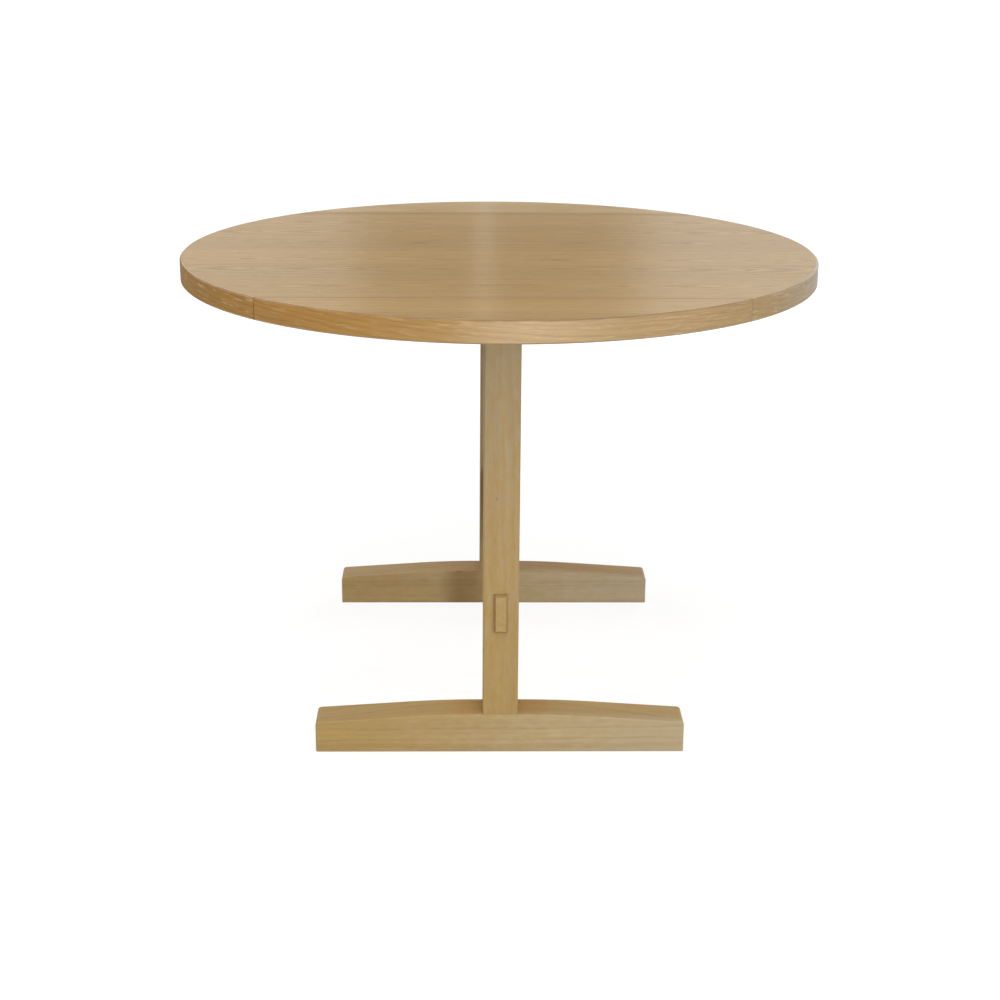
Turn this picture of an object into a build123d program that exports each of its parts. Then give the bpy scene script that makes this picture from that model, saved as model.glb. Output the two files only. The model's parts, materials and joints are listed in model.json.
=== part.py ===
from build123d import *
import math
import os

# Round drop-leaf table on a two-post trestle, in oak.
# Millimetres, +Z up, origin on the floor under the centre of the top.
# X runs along the leaf joints and the feet, Y from the front leaf to the rear leaf.

os.makedirs("parts", exist_ok=True)

# Round top: a fixed centre panel with a hinged leaf at the front and at the rear
TOP_DIAMETER = 1050.0
TABLE_HEIGHT = 745.0
TOP_THICKNESS = 35.0
PANEL_WIDTH = 750.0
JOINT_GAP = 0.8
LIPPING_WIDTH = 20.0
EDGE_BAND = 4.0
RIM_CHAMFER = 2.0
JOINT_CHAMFER = 0.8

# Trestle: two posts, each tenoned into a foot below and a bearer above
FRAME_SETBACK = 19.0
POST_WIDTH = 56.0
POST_DEPTH = 60.0
POST_ROUND = 2.5
FOOT_LENGTH = 590.0
FOOT_DEPTH = 60.0
FOOT_HEIGHT = 65.5
FOOT_END_HEIGHT = 52.0
FOOT_FLAT = 185.0
FOOT_BLEND = 53.0
FOOT_END_ROUND = 6.0
FOOT_ROUND = 2.0
SOLE_ROUND = 1.5
BEARER_LENGTH = 320.0
BEARER_DEPTH = 60.0
BEARER_HEIGHT = 36.0
BEARER_END_HEIGHT = 22.0
BEARER_FLAT = 130.0
BEARER_BLEND = 20.0
BEARER_END_ROUND = 6.0
BEARER_ROUND = 2.5
POST_TENON_WIDTH = 36.0
POST_TENON_DEPTH = 30.0
FOOT_TENON = 44.0
BEARER_TENON = 24.0
TENON_CLEARANCE = 0.1
MORTISE_RELIEF = 1.0

# Stretcher between the posts, with through tenons that stand proud
STRETCHER_THICKNESS = 32.0
STRETCHER_HEIGHT = 90.0
STRETCHER_LEVEL = 240.0
STRETCHER_ROUND = 2.5
THROUGH_TENON_WIDTH = 21.0
THROUGH_TENON_HEIGHT = 62.0
TENON_PROUD = 8.5
TENON_CHAMFER = 2.4

# Screws that hold the bearers to the underside of the centre panel
BEARER_SCREW_INSET = 25.0
BEARER_SCREW_PITCH = 55.0
BEARER_SCREW_HEAD = 10.0
BEARER_SCREW_SHANK = 5.0
BEARER_SCREW_LENGTH = 36.0
BEARER_SCREW_SEAT = 16.0
COUNTERBORE = 12.0
SCREW_CLEARANCE = 0.05
SCREW_TIP = 3.0

# Butt hinges, let into the lippings flush with the underside
HINGE_LENGTH = 60.0
HINGE_PLATE_WIDTH = 18.0
HINGE_PLATE = 2.0
HINGE_BARREL = 7.0
HINGE_PIN = 4.0
HINGE_AXIS_DROP = 2.0
HINGE_INSET = 97.0
HINGE_KNUCKLES = 5
KNUCKLE_GAP = 0.3
KNUCKLE_RELIEF = 0.4
RECESS_CLEARANCE = 0.2
HINGE_SCREW_PITCH = 20.0
HINGE_SCREW_OFFSET = 10.5
SMALL_SCREW_HEAD = 7.0
SMALL_SCREW_SHANK = 3.5
SMALL_SCREW_LENGTH = 16.0
RUNNING_CLEARANCE = 0.05

# Two-arm friction stays: four equal sides between the hinge line and three pivots
STAY_OFFSET = 18.0
STAY_MARGIN = 4.0
STAY_DROP = 6.0
ARM_WIDTH = 9.0
ARM_THICKNESS = 2.5
ARM_GAP = 0.3
WASHER = 0.8
WASHER_DIAMETER = 10.0
BRACKET_SHEET = 2.0
BRACKET_WIDTH = 16.0
BRACKET_LENGTH = 32.0
LUG_WIDTH = 12.0
LUG_ROOT = 20.0
BRACKET_SCREW_PITCH = 20.0
RIVET = 5.0
RIVET_HEAD = 8.0
RIVET_HEAD_HEIGHT = 1.5
RIVET_HEAD_CHAMFER = 0.8

# Levels and lines that the pieces share
top_radius = TOP_DIAMETER / 2
core_radius = top_radius - EDGE_BAND
underside = TABLE_HEIGHT - TOP_THICKNESS
joint_line = PANEL_WIDTH / 2
panel_edge = joint_line - JOINT_GAP / 2
leaf_edge = joint_line + JOINT_GAP / 2
panel_core_edge = panel_edge - LIPPING_WIDTH
leaf_core_edge = leaf_edge + LIPPING_WIDTH
joint_half_length = math.sqrt(top_radius**2 - joint_line**2)
frame_face = joint_line - FRAME_SETBACK
post_inner = frame_face - POST_DEPTH
post_middle = frame_face - POST_DEPTH / 2
post_top = underside - BEARER_HEIGHT
bearer_middle = frame_face - BEARER_DEPTH / 2


def export_both(piece, name):
    """Write a front piece and its twin, turned half round about the table's centre, at the rear."""
    for side, turn in (("front", 0), ("rear", 180)):
        twin = piece.rotate(Axis.Z, turn)
        twin.label = f"{side}_{name}"
        export_step(twin, f"parts/{side}_{name}.step")


def top_slice(inner, outer, easing, y_low, y_high):
    """Slice of the round top between two cuts parallel to the leaf joints, its rim arrises eased."""
    with BuildPart() as piece:
        with BuildSketch(Plane.XY.offset(underside)):
            Circle(outer)
            if inner:
                Circle(inner, mode=Mode.SUBTRACT)
            with Locations((0, (y_low + y_high) / 2)):
                Rectangle(2 * TOP_DIAMETER, y_high - y_low, mode=Mode.INTERSECT)
        extrude(amount=TOP_THICKNESS)
        if easing:
            arcs = piece.edges().filter_by(GeomType.CIRCLE)
            chamfer(arcs.filter_by(lambda arc: arc.radius > (inner + outer) / 2), easing)
    return piece.part


def rim_band(y_low, y_high):
    """Band bent round the rim between two cuts, its arrises eased along the rim and at the leaf joints."""
    with BuildPart() as band:
        add(top_slice(core_radius, top_radius, RIM_CHAMFER, y_low, y_high))
        joint_edges = band.faces().filter_by(Axis.Y).edges()
        outer_edges = joint_edges.filter_by(
            lambda edge: math.hypot(edge.center().X, edge.center().Y) > core_radius + EDGE_BAND / 10
        )
        chamfer(outer_edges, JOINT_CHAMFER)
    return band.part


def tapered_bar(plane, length, depth, middle, end, flat, blend, end_round):
    """Bar with one straight side, and a flat middle that eases into a taper towards both rounded ends."""
    turn = math.atan2(middle - end, (length - flat) / 2)
    with BuildPart() as bar:
        with BuildSketch(plane) as outline:
            with BuildLine():
                Polyline(
                    (-length / 2, 0),
                    (length / 2, 0),
                    (length / 2, end),
                    (flat / 2, middle),
                    (-flat / 2, middle),
                    (-length / 2, end),
                    close=True,
                )
            make_face()
            fillet(outline.vertices().group_by(Axis.Y)[-1], blend / math.tan(turn / 2))
            fillet(outline.vertices().group_by(Axis.Y)[1], end_round)
        extrude(amount=depth)
    return bar.part


def screw(head, shank, length, grow=0.0):
    """Countersunk wood screw, head down at the origin; grow gives the hole that it fits."""
    head_depth = (head - shank) / 2
    with BuildPart() as body:
        with BuildSketch(Plane.XZ):
            with BuildLine():
                Polyline(
                    (0, -grow),
                    (head / 2 + 2 * grow, -grow),
                    (shank / 2 + grow, head_depth),
                    (shank / 2 + grow, length - SCREW_TIP),
                    (shank / 8 + grow, length + grow),
                    (0, length + grow),
                    close=True,
                )
            make_face()
        revolve(axis=Axis.Z)
    return body.part


bearer_screw = screw(BEARER_SCREW_HEAD, BEARER_SCREW_SHANK, BEARER_SCREW_LENGTH)
bearer_screw_hole = screw(
    BEARER_SCREW_HEAD, BEARER_SCREW_SHANK, BEARER_SCREW_LENGTH, SCREW_CLEARANCE
)
small_screw = screw(SMALL_SCREW_HEAD, SMALL_SCREW_SHANK, SMALL_SCREW_LENGTH)
small_screw_hole = screw(
    SMALL_SCREW_HEAD, SMALL_SCREW_SHANK, SMALL_SCREW_LENGTH, SCREW_CLEARANCE
)
outer_screw = BEARER_LENGTH / 2 - BEARER_SCREW_INSET
inner_screw = outer_screw - BEARER_SCREW_PITCH
bearer_screw_places = [
    (x, -bearer_middle, underside - BEARER_SCREW_SEAT)
    for x in (-outer_screw, -inner_screw, inner_screw, outer_screw)
]

# Hinge line of the front leaf, and the places of its hinges along it
hinge_level = underside - HINGE_AXIS_DROP
hinge_spacing = joint_half_length - HINGE_INSET
hinge_places = (-hinge_spacing, 0.0, hinge_spacing)
hinge_screw_columns = [
    hinge + column * HINGE_SCREW_PITCH for hinge in hinge_places for column in (-1, 0, 1)
]
panel_hinge_screws = [
    (x, -joint_line + HINGE_SCREW_OFFSET, underside) for x in hinge_screw_columns
]
leaf_hinge_screws = [
    (x, -joint_line - HINGE_SCREW_OFFSET, underside) for x in hinge_screw_columns
]

# Pivots of the front stays, as (y, z): on the panel, at the elbow and on the leaf
stay_reach = JOINT_GAP / 2 + LIPPING_WIDTH + STAY_MARGIN + BRACKET_LENGTH / 2
panel_pivot = (-joint_line + stay_reach, hinge_level - STAY_DROP)
elbow_pivot = (-joint_line, hinge_level - 2 * STAY_DROP)
leaf_pivot = (-joint_line - stay_reach, hinge_level - STAY_DROP)
arm_length = math.hypot(stay_reach, STAY_DROP)
arm_slope = math.degrees(math.atan2(STAY_DROP, stay_reach))

# Faces of the stay's layers on the right-hand side of the table
panel_lug_face = BEARER_LENGTH / 2 + STAY_OFFSET
inner_arm_face = panel_lug_face + WASHER + ARM_GAP
outer_arm_face = inner_arm_face + ARM_THICKNESS + ARM_GAP
leaf_lug_face = outer_arm_face - ARM_GAP
bracket_screw_inset = (BRACKET_WIDTH + BRACKET_SHEET) / 2
bracket_level = underside - BRACKET_SHEET


def bracket_screws(pivot, lug_face):
    """Screw places of the left and right stay brackets at one pivot."""
    return [
        (side * (lug_face - bracket_screw_inset), pivot[0] + end * BRACKET_SCREW_PITCH / 2, bracket_level)
        for side in (-1, 1)
        for end in (-1, 1)
    ]


panel_bracket_screws = bracket_screws(panel_pivot, panel_lug_face)
leaf_bracket_screws = bracket_screws(leaf_pivot, leaf_lug_face)
rear_bracket_screws = [(-x, -y, z) for x, y, z in panel_bracket_screws]
rear_bearer_screw_places = [(-x, -y, z) for x, y, z in bearer_screw_places]

# Veneered centre panel, with pilot holes for the bearers and the stays
with BuildPart() as centre_panel:
    add(top_slice(0, core_radius, 0, -panel_core_edge, panel_core_edge))
    with Locations(*bearer_screw_places, *rear_bearer_screw_places):
        add(bearer_screw_hole, mode=Mode.SUBTRACT)
    with Locations(*panel_bracket_screws, *rear_bracket_screws):
        add(small_screw_hole, mode=Mode.SUBTRACT)
centre_panel.part.label = "centre_panel"
export_step(centre_panel.part, "parts/centre_panel.step")

# Solid edge bands bent round the two rim arcs of the centre panel
centre_bands = rim_band(-panel_edge, panel_edge)
for band_name, band in zip(
    ("centre_edge_left", "centre_edge_right"), centre_bands.solids().sort_by(Axis.X)
):
    with BuildPart() as centre_edge:
        add(band)
    centre_edge.part.label = band_name
    export_step(centre_edge.part, f"parts/{band_name}.step")

# Veneered leaf, front and rear
with BuildPart() as leaf_core:
    add(top_slice(0, core_radius, 0, -TOP_DIAMETER, -leaf_core_edge))
    with Locations(*leaf_bracket_screws):
        add(small_screw_hole, mode=Mode.SUBTRACT)
export_both(leaf_core.part, "leaf_panel")

# Edge band of a leaf
with BuildPart() as leaf_edge_band:
    add(rim_band(-TOP_DIAMETER, -leaf_edge))
export_both(leaf_edge_band.part, "leaf_edge")


def lipping(y_low, y_high, joint_face, recess_middle, screw_places):
    """Solid strip on one side of a leaf joint, with eased arrises and hinge recesses."""
    recess_width = HINGE_PLATE_WIDTH + RECESS_CLEARANCE - JOINT_GAP / 2
    with BuildPart() as strip:
        add(top_slice(0, core_radius, 0, y_low, y_high))
        joint_side = strip.faces().filter_by(Axis.Y).sort_by(Axis.Y)[joint_face]
        chamfer(joint_side.edges().filter_by(Axis.X), JOINT_CHAMFER)
        with Locations(*[(x, recess_middle, underside) for x in hinge_places]):
            Box(
                HINGE_LENGTH + 2 * RECESS_CLEARANCE,
                recess_width,
                2 * HINGE_PLATE,
                mode=Mode.SUBTRACT,
            )
        with Locations(*screw_places):
            add(small_screw_hole, mode=Mode.SUBTRACT)
    return strip.part


recess_centre = (HINGE_PLATE_WIDTH + RECESS_CLEARANCE + JOINT_GAP / 2) / 2

# Lipping on the panel's side of a leaf joint
with BuildPart() as panel_lipping:
    add(
        lipping(
            -panel_edge,
            -panel_core_edge,
            0,
            -joint_line + recess_centre,
            panel_hinge_screws,
        )
    )
export_both(panel_lipping.part, "panel_lipping")

# Lipping on the leaf's side of a leaf joint
with BuildPart() as leaf_lipping:
    add(
        lipping(
            -leaf_core_edge,
            -leaf_edge,
            -1,
            -joint_line - recess_centre,
            leaf_hinge_screws,
        )
    )
export_both(leaf_lipping.part, "leaf_lipping")

# Foot: flat sole, tapered back towards the ends, square seat under the post
with BuildPart() as foot:
    foot_plane = Plane((0, FOOT_DEPTH - frame_face, 0), x_dir=(1, 0, 0), z_dir=(0, -1, 0))
    add(
        tapered_bar(
            foot_plane,
            FOOT_LENGTH,
            FOOT_DEPTH,
            FOOT_HEIGHT,
            FOOT_END_HEIGHT,
            FOOT_FLAT,
            FOOT_BLEND,
            FOOT_END_ROUND,
        )
    )
    sole_edges = foot.faces().sort_by(Axis.Z)[0].edges()
    fillet([edge for edge in foot.edges() if edge not in sole_edges], FOOT_ROUND)
    fillet(foot.faces().sort_by(Axis.Z)[0].edges(), SOLE_ROUND)
    with Locations((0, FOOT_DEPTH / 2 - frame_face, FOOT_HEIGHT)):
        Box(POST_WIDTH, FOOT_DEPTH, FOOT_ROUND, align=(Align.CENTER, Align.CENTER, Align.MAX))
    with Locations((0, -post_middle, FOOT_HEIGHT)):
        Box(
            POST_TENON_WIDTH + 2 * TENON_CLEARANCE,
            POST_TENON_DEPTH + 2 * TENON_CLEARANCE,
            FOOT_TENON + MORTISE_RELIEF,
            align=(Align.CENTER, Align.CENTER, Align.MAX),
            mode=Mode.SUBTRACT,
        )
export_both(foot.part, "foot")

# Bearer: flat against the top, tapered up towards the ends, counterbored for its screws
with BuildPart() as bearer:
    bearer_plane = Plane((0, -frame_face, underside), x_dir=(1, 0, 0), z_dir=(0, 1, 0))
    add(
        tapered_bar(
            bearer_plane,
            BEARER_LENGTH,
            BEARER_DEPTH,
            BEARER_HEIGHT,
            BEARER_END_HEIGHT,
            BEARER_FLAT,
            BEARER_BLEND,
            BEARER_END_ROUND,
        )
    )
    top_edges = bearer.faces().sort_by(Axis.Z)[-1].edges()
    fillet([edge for edge in bearer.edges() if edge not in top_edges], BEARER_ROUND)
    with Locations((0, -bearer_middle, post_top)):
        Box(POST_WIDTH, BEARER_DEPTH, BEARER_ROUND, align=(Align.CENTER, Align.CENTER, Align.MIN))
    with Locations((0, -post_middle, post_top)):
        Box(
            POST_TENON_WIDTH + 2 * TENON_CLEARANCE,
            POST_TENON_DEPTH + 2 * TENON_CLEARANCE,
            BEARER_TENON + MORTISE_RELIEF,
            align=(Align.CENTER, Align.CENTER, Align.MIN),
            mode=Mode.SUBTRACT,
        )
    with Locations(*bearer_screw_places):
        Cylinder(
            COUNTERBORE / 2,
            BEARER_HEIGHT,
            align=(Align.CENTER, Align.CENTER, Align.MAX),
            mode=Mode.SUBTRACT,
        )
        add(bearer_screw_hole, mode=Mode.SUBTRACT)
export_both(bearer.part, "bearer")

with BuildPart() as bearer_screws:
    with Locations(*bearer_screw_places):
        add(bearer_screw)
export_both(bearer_screws.part, "bearer_screws")

# Post: stub tenons into the foot and the bearer, through mortise for the stretcher
with BuildPart() as post:
    with Locations((0, -post_middle, FOOT_HEIGHT)):
        Box(
            POST_WIDTH,
            POST_DEPTH,
            post_top - FOOT_HEIGHT,
            align=(Align.CENTER, Align.CENTER, Align.MIN),
        )
    fillet(post.edges().filter_by(Axis.Z), POST_ROUND)
    with Locations((0, -post_middle, FOOT_HEIGHT - FOOT_TENON)):
        Box(
            POST_TENON_WIDTH,
            POST_TENON_DEPTH,
            FOOT_TENON + post_top - FOOT_HEIGHT + BEARER_TENON,
            align=(Align.CENTER, Align.CENTER, Align.MIN),
        )
    with Locations((0, -post_middle, STRETCHER_LEVEL)):
        Box(
            THROUGH_TENON_WIDTH + 2 * TENON_CLEARANCE,
            POST_DEPTH,
            THROUGH_TENON_HEIGHT + 2 * TENON_CLEARANCE,
            mode=Mode.SUBTRACT,
        )
export_both(post.part, "post")

# Stretcher: shouldered against both posts, its chamfered tenons proud of their outer faces
with BuildPart() as stretcher:
    with Locations((0, 0, STRETCHER_LEVEL)):
        Box(STRETCHER_THICKNESS, 2 * post_inner, STRETCHER_HEIGHT)
        fillet(stretcher.edges().filter_by(Axis.Y), STRETCHER_ROUND)
        Box(THROUGH_TENON_WIDTH, 2 * (frame_face + TENON_PROUD), THROUGH_TENON_HEIGHT)
    tenon_ends = stretcher.faces().filter_by(Axis.Y).sort_by(Axis.Y)
    chamfer(tenon_ends[0].edges() + tenon_ends[-1].edges(), TENON_CHAMFER)
stretcher.part.label = "stretcher"
export_step(stretcher.part, "parts/stretcher.step")


def hinge_plates(side, own_knuckles, screw_places):
    """Plates and knuckles on one side of the front leaf joint; side is +1 on the panel, -1 on the leaf."""
    barrel = HINGE_BARREL / 2
    knuckle_pitch = HINGE_LENGTH / HINGE_KNUCKLES
    knuckle_centres = [
        (index + 0.5) * knuckle_pitch - HINGE_LENGTH / 2 for index in range(HINGE_KNUCKLES)
    ]
    with BuildPart() as plates:
        with Locations(*[(x, side * HINGE_PLATE_WIDTH / 2 - joint_line, underside) for x in hinge_places]):
            Box(
                HINGE_LENGTH,
                HINGE_PLATE_WIDTH,
                HINGE_PLATE,
                align=(Align.CENTER, Align.CENTER, Align.MIN),
            )
        for index, centre in enumerate(knuckle_centres):
            spots = [(x + centre, -joint_line, hinge_level) for x in hinge_places]
            if index in own_knuckles:
                with Locations(*spots):
                    Cylinder(barrel, knuckle_pitch - KNUCKLE_GAP, rotation=(0, 90, 0))
            else:
                with Locations(*spots):
                    Box(
                        knuckle_pitch + KNUCKLE_GAP,
                        HINGE_BARREL + 2 * KNUCKLE_RELIEF,
                        4 * HINGE_PLATE + 2 * HINGE_AXIS_DROP,
                        mode=Mode.SUBTRACT,
                    )
        with Locations(*[(x, -joint_line, hinge_level) for x in hinge_places]):
            Cylinder(
                HINGE_PIN / 2 + RUNNING_CLEARANCE,
                HINGE_LENGTH,
                rotation=(0, 90, 0),
                mode=Mode.SUBTRACT,
            )
        with Locations(*screw_places):
            add(small_screw_hole, mode=Mode.SUBTRACT)
    return plates.part


panel_knuckles = range(0, HINGE_KNUCKLES, 2)
leaf_knuckles = range(1, HINGE_KNUCKLES, 2)

with BuildPart() as hinge_panel_plates:
    add(hinge_plates(1, panel_knuckles, panel_hinge_screws))
export_both(hinge_panel_plates.part, "hinge_panel_plates")

with BuildPart() as hinge_leaf_plates:
    add(hinge_plates(-1, leaf_knuckles, leaf_hinge_screws))
export_both(hinge_leaf_plates.part, "hinge_leaf_plates")

with BuildPart() as hinge_pins:
    with Locations(*[(x, -joint_line, hinge_level) for x in hinge_places]):
        Cylinder(HINGE_PIN / 2, HINGE_LENGTH, rotation=(0, 90, 0))
export_both(hinge_pins.part, "hinge_pins")

with BuildPart() as hinge_panel_screws:
    with Locations(*panel_hinge_screws):
        add(small_screw)
export_both(hinge_panel_screws.part, "hinge_panel_screws")

with BuildPart() as hinge_leaf_screws:
    with Locations(*leaf_hinge_screws):
        add(small_screw)
export_both(hinge_leaf_screws.part, "hinge_leaf_screws")


def stay_brackets(pivot, lug_face, screw_places):
    """Angle brackets, left and right, whose lugs carry a stay pivot."""
    with BuildPart() as brackets:
        with Locations((lug_face, pivot[0], underside)):
            Box(
                BRACKET_WIDTH,
                BRACKET_LENGTH,
                BRACKET_SHEET,
                align=(Align.MAX, Align.CENTER, Align.MAX),
            )
        with BuildSketch(Plane.YZ.offset(lug_face - BRACKET_SHEET)):
            with Locations(pivot):
                Circle(LUG_WIDTH / 2)
            with Locations((pivot[0], underside)):
                Rectangle(LUG_ROOT, BRACKET_SHEET, align=(Align.CENTER, Align.MAX))
            make_hull()
            with Locations(pivot):
                Circle(RIVET / 2 + RUNNING_CLEARANCE, mode=Mode.SUBTRACT)
        extrude(amount=BRACKET_SHEET)
        mirror(about=Plane.YZ)
        with Locations(*screw_places):
            add(small_screw_hole, mode=Mode.SUBTRACT)
    return brackets.part


def stay_arms(start, slope, face):
    """Flat arms, left and right, from a pivot towards the elbow or the leaf."""
    step = (-arm_length * math.cos(math.radians(slope)), arm_length * math.sin(math.radians(slope)))
    finish = (start[0] + step[0], start[1] + step[1])
    middle = (start[0] + step[0] / 2, start[1] + step[1] / 2)
    with BuildPart() as arms:
        with BuildSketch(Plane.YZ.offset(face)):
            with Locations(middle):
                SlotCenterToCenter(arm_length, ARM_WIDTH, rotation=-slope)
            with Locations(start, finish):
                Circle(RIVET / 2 + RUNNING_CLEARANCE, mode=Mode.SUBTRACT)
        extrude(amount=ARM_THICKNESS)
        mirror(about=Plane.YZ)
    return arms.part


def stay_pivots(pivot, first_face, last_face):
    """Rivets, left and right, whose heads close over the layers between two faces."""
    with BuildPart() as rivets:
        with BuildSketch(Plane.YZ.offset(first_face)):
            with Locations(pivot):
                Circle(RIVET / 2)
        extrude(amount=last_face - first_face)
        for face, direction in ((first_face, -1), (last_face, 1)):
            with BuildSketch(Plane.YZ.offset(face)):
                with Locations(pivot):
                    Circle(RIVET_HEAD / 2)
            extrude(amount=direction * RIVET_HEAD_HEIGHT)
        chamfer(
            rivets.faces().sort_by(Axis.X)[0].edges() + rivets.faces().sort_by(Axis.X)[-1].edges(),
            RIVET_HEAD_CHAMFER,
        )
        mirror(about=Plane.YZ)
    return rivets.part


with BuildPart() as stay_panel_brackets:
    add(stay_brackets(panel_pivot, panel_lug_face, panel_bracket_screws))
export_both(stay_panel_brackets.part, "stay_panel_brackets")

with BuildPart() as stay_leaf_brackets:
    add(stay_brackets(leaf_pivot, leaf_lug_face, leaf_bracket_screws))
export_both(stay_leaf_brackets.part, "stay_leaf_brackets")

with BuildPart() as stay_panel_screws:
    with Locations(*panel_bracket_screws):
        add(small_screw)
export_both(stay_panel_screws.part, "stay_panel_screws")

with BuildPart() as stay_leaf_screws:
    with Locations(*leaf_bracket_screws):
        add(small_screw)
export_both(stay_leaf_screws.part, "stay_leaf_screws")

# Arms: the inner one from panel to elbow, the outer one from elbow to leaf
with BuildPart() as stay_inner_arms:
    add(stay_arms(panel_pivot, -arm_slope, inner_arm_face))
export_both(stay_inner_arms.part, "stay_inner_arms")

with BuildPart() as stay_outer_arms:
    add(stay_arms(elbow_pivot, arm_slope, outer_arm_face))
export_both(stay_outer_arms.part, "stay_outer_arms")

# Friction washers between the panel lugs and the inner arms
with BuildPart() as stay_washers:
    with BuildSketch(Plane.YZ.offset(panel_lug_face)):
        with Locations(panel_pivot):
            Circle(WASHER_DIAMETER / 2)
            Circle(RIVET / 2 + RUNNING_CLEARANCE, mode=Mode.SUBTRACT)
    extrude(amount=WASHER)
    mirror(about=Plane.YZ)
export_both(stay_washers.part, "stay_washers")

# Rivets: fixed in the panel lug, in the inner arm at the elbow, and in the leaf lug
with BuildPart() as stay_panel_pivots:
    add(
        stay_pivots(
            panel_pivot, panel_lug_face - BRACKET_SHEET, inner_arm_face + ARM_THICKNESS + ARM_GAP
        )
    )
export_both(stay_panel_pivots.part, "stay_panel_pivots")

with BuildPart() as stay_elbow_pivots:
    add(stay_pivots(elbow_pivot, inner_arm_face, outer_arm_face + ARM_THICKNESS + ARM_GAP))
export_both(stay_elbow_pivots.part, "stay_elbow_pivots")

with BuildPart() as stay_leaf_pivots:
    add(
        stay_pivots(
            leaf_pivot, leaf_lug_face - BRACKET_SHEET, outer_arm_face + ARM_THICKNESS + ARM_GAP
        )
    )
export_both(stay_leaf_pivots.part, "stay_leaf_pivots")
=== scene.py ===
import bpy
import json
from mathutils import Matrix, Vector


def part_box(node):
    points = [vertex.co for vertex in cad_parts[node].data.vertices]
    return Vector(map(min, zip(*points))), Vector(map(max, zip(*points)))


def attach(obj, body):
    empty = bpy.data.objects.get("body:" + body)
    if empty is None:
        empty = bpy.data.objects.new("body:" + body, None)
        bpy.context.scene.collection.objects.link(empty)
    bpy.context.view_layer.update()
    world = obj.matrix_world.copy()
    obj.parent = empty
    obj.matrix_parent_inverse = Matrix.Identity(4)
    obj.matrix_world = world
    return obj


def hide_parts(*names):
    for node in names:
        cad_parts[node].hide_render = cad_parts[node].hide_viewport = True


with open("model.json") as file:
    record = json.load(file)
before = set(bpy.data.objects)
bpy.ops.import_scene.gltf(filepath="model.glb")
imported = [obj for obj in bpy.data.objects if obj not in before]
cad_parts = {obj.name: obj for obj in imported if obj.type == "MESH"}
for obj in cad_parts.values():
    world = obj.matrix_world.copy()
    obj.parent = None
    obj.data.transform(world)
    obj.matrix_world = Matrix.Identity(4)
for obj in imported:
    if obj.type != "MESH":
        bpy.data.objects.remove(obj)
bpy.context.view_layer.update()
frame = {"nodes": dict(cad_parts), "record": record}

import json
import math

import bmesh
import bpy
from mathutils import Matrix, Vector

# Round drop-leaf table in clear-finished oak. Metres, in the frame's own axes:
# X along the leaf joints and the feet, Y from the front leaf to the rear leaf, Z up.

TOP_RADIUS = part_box("centre_edge_right")[1].x
PANEL_CORE_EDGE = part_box("centre_panel")[1].y
JOINT_LINE = (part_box("rear_panel_lipping")[1].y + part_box("rear_leaf_lipping")[0].y) / 2
WHITE = (1.0, 1.0, 1.0, 1.0)


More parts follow.
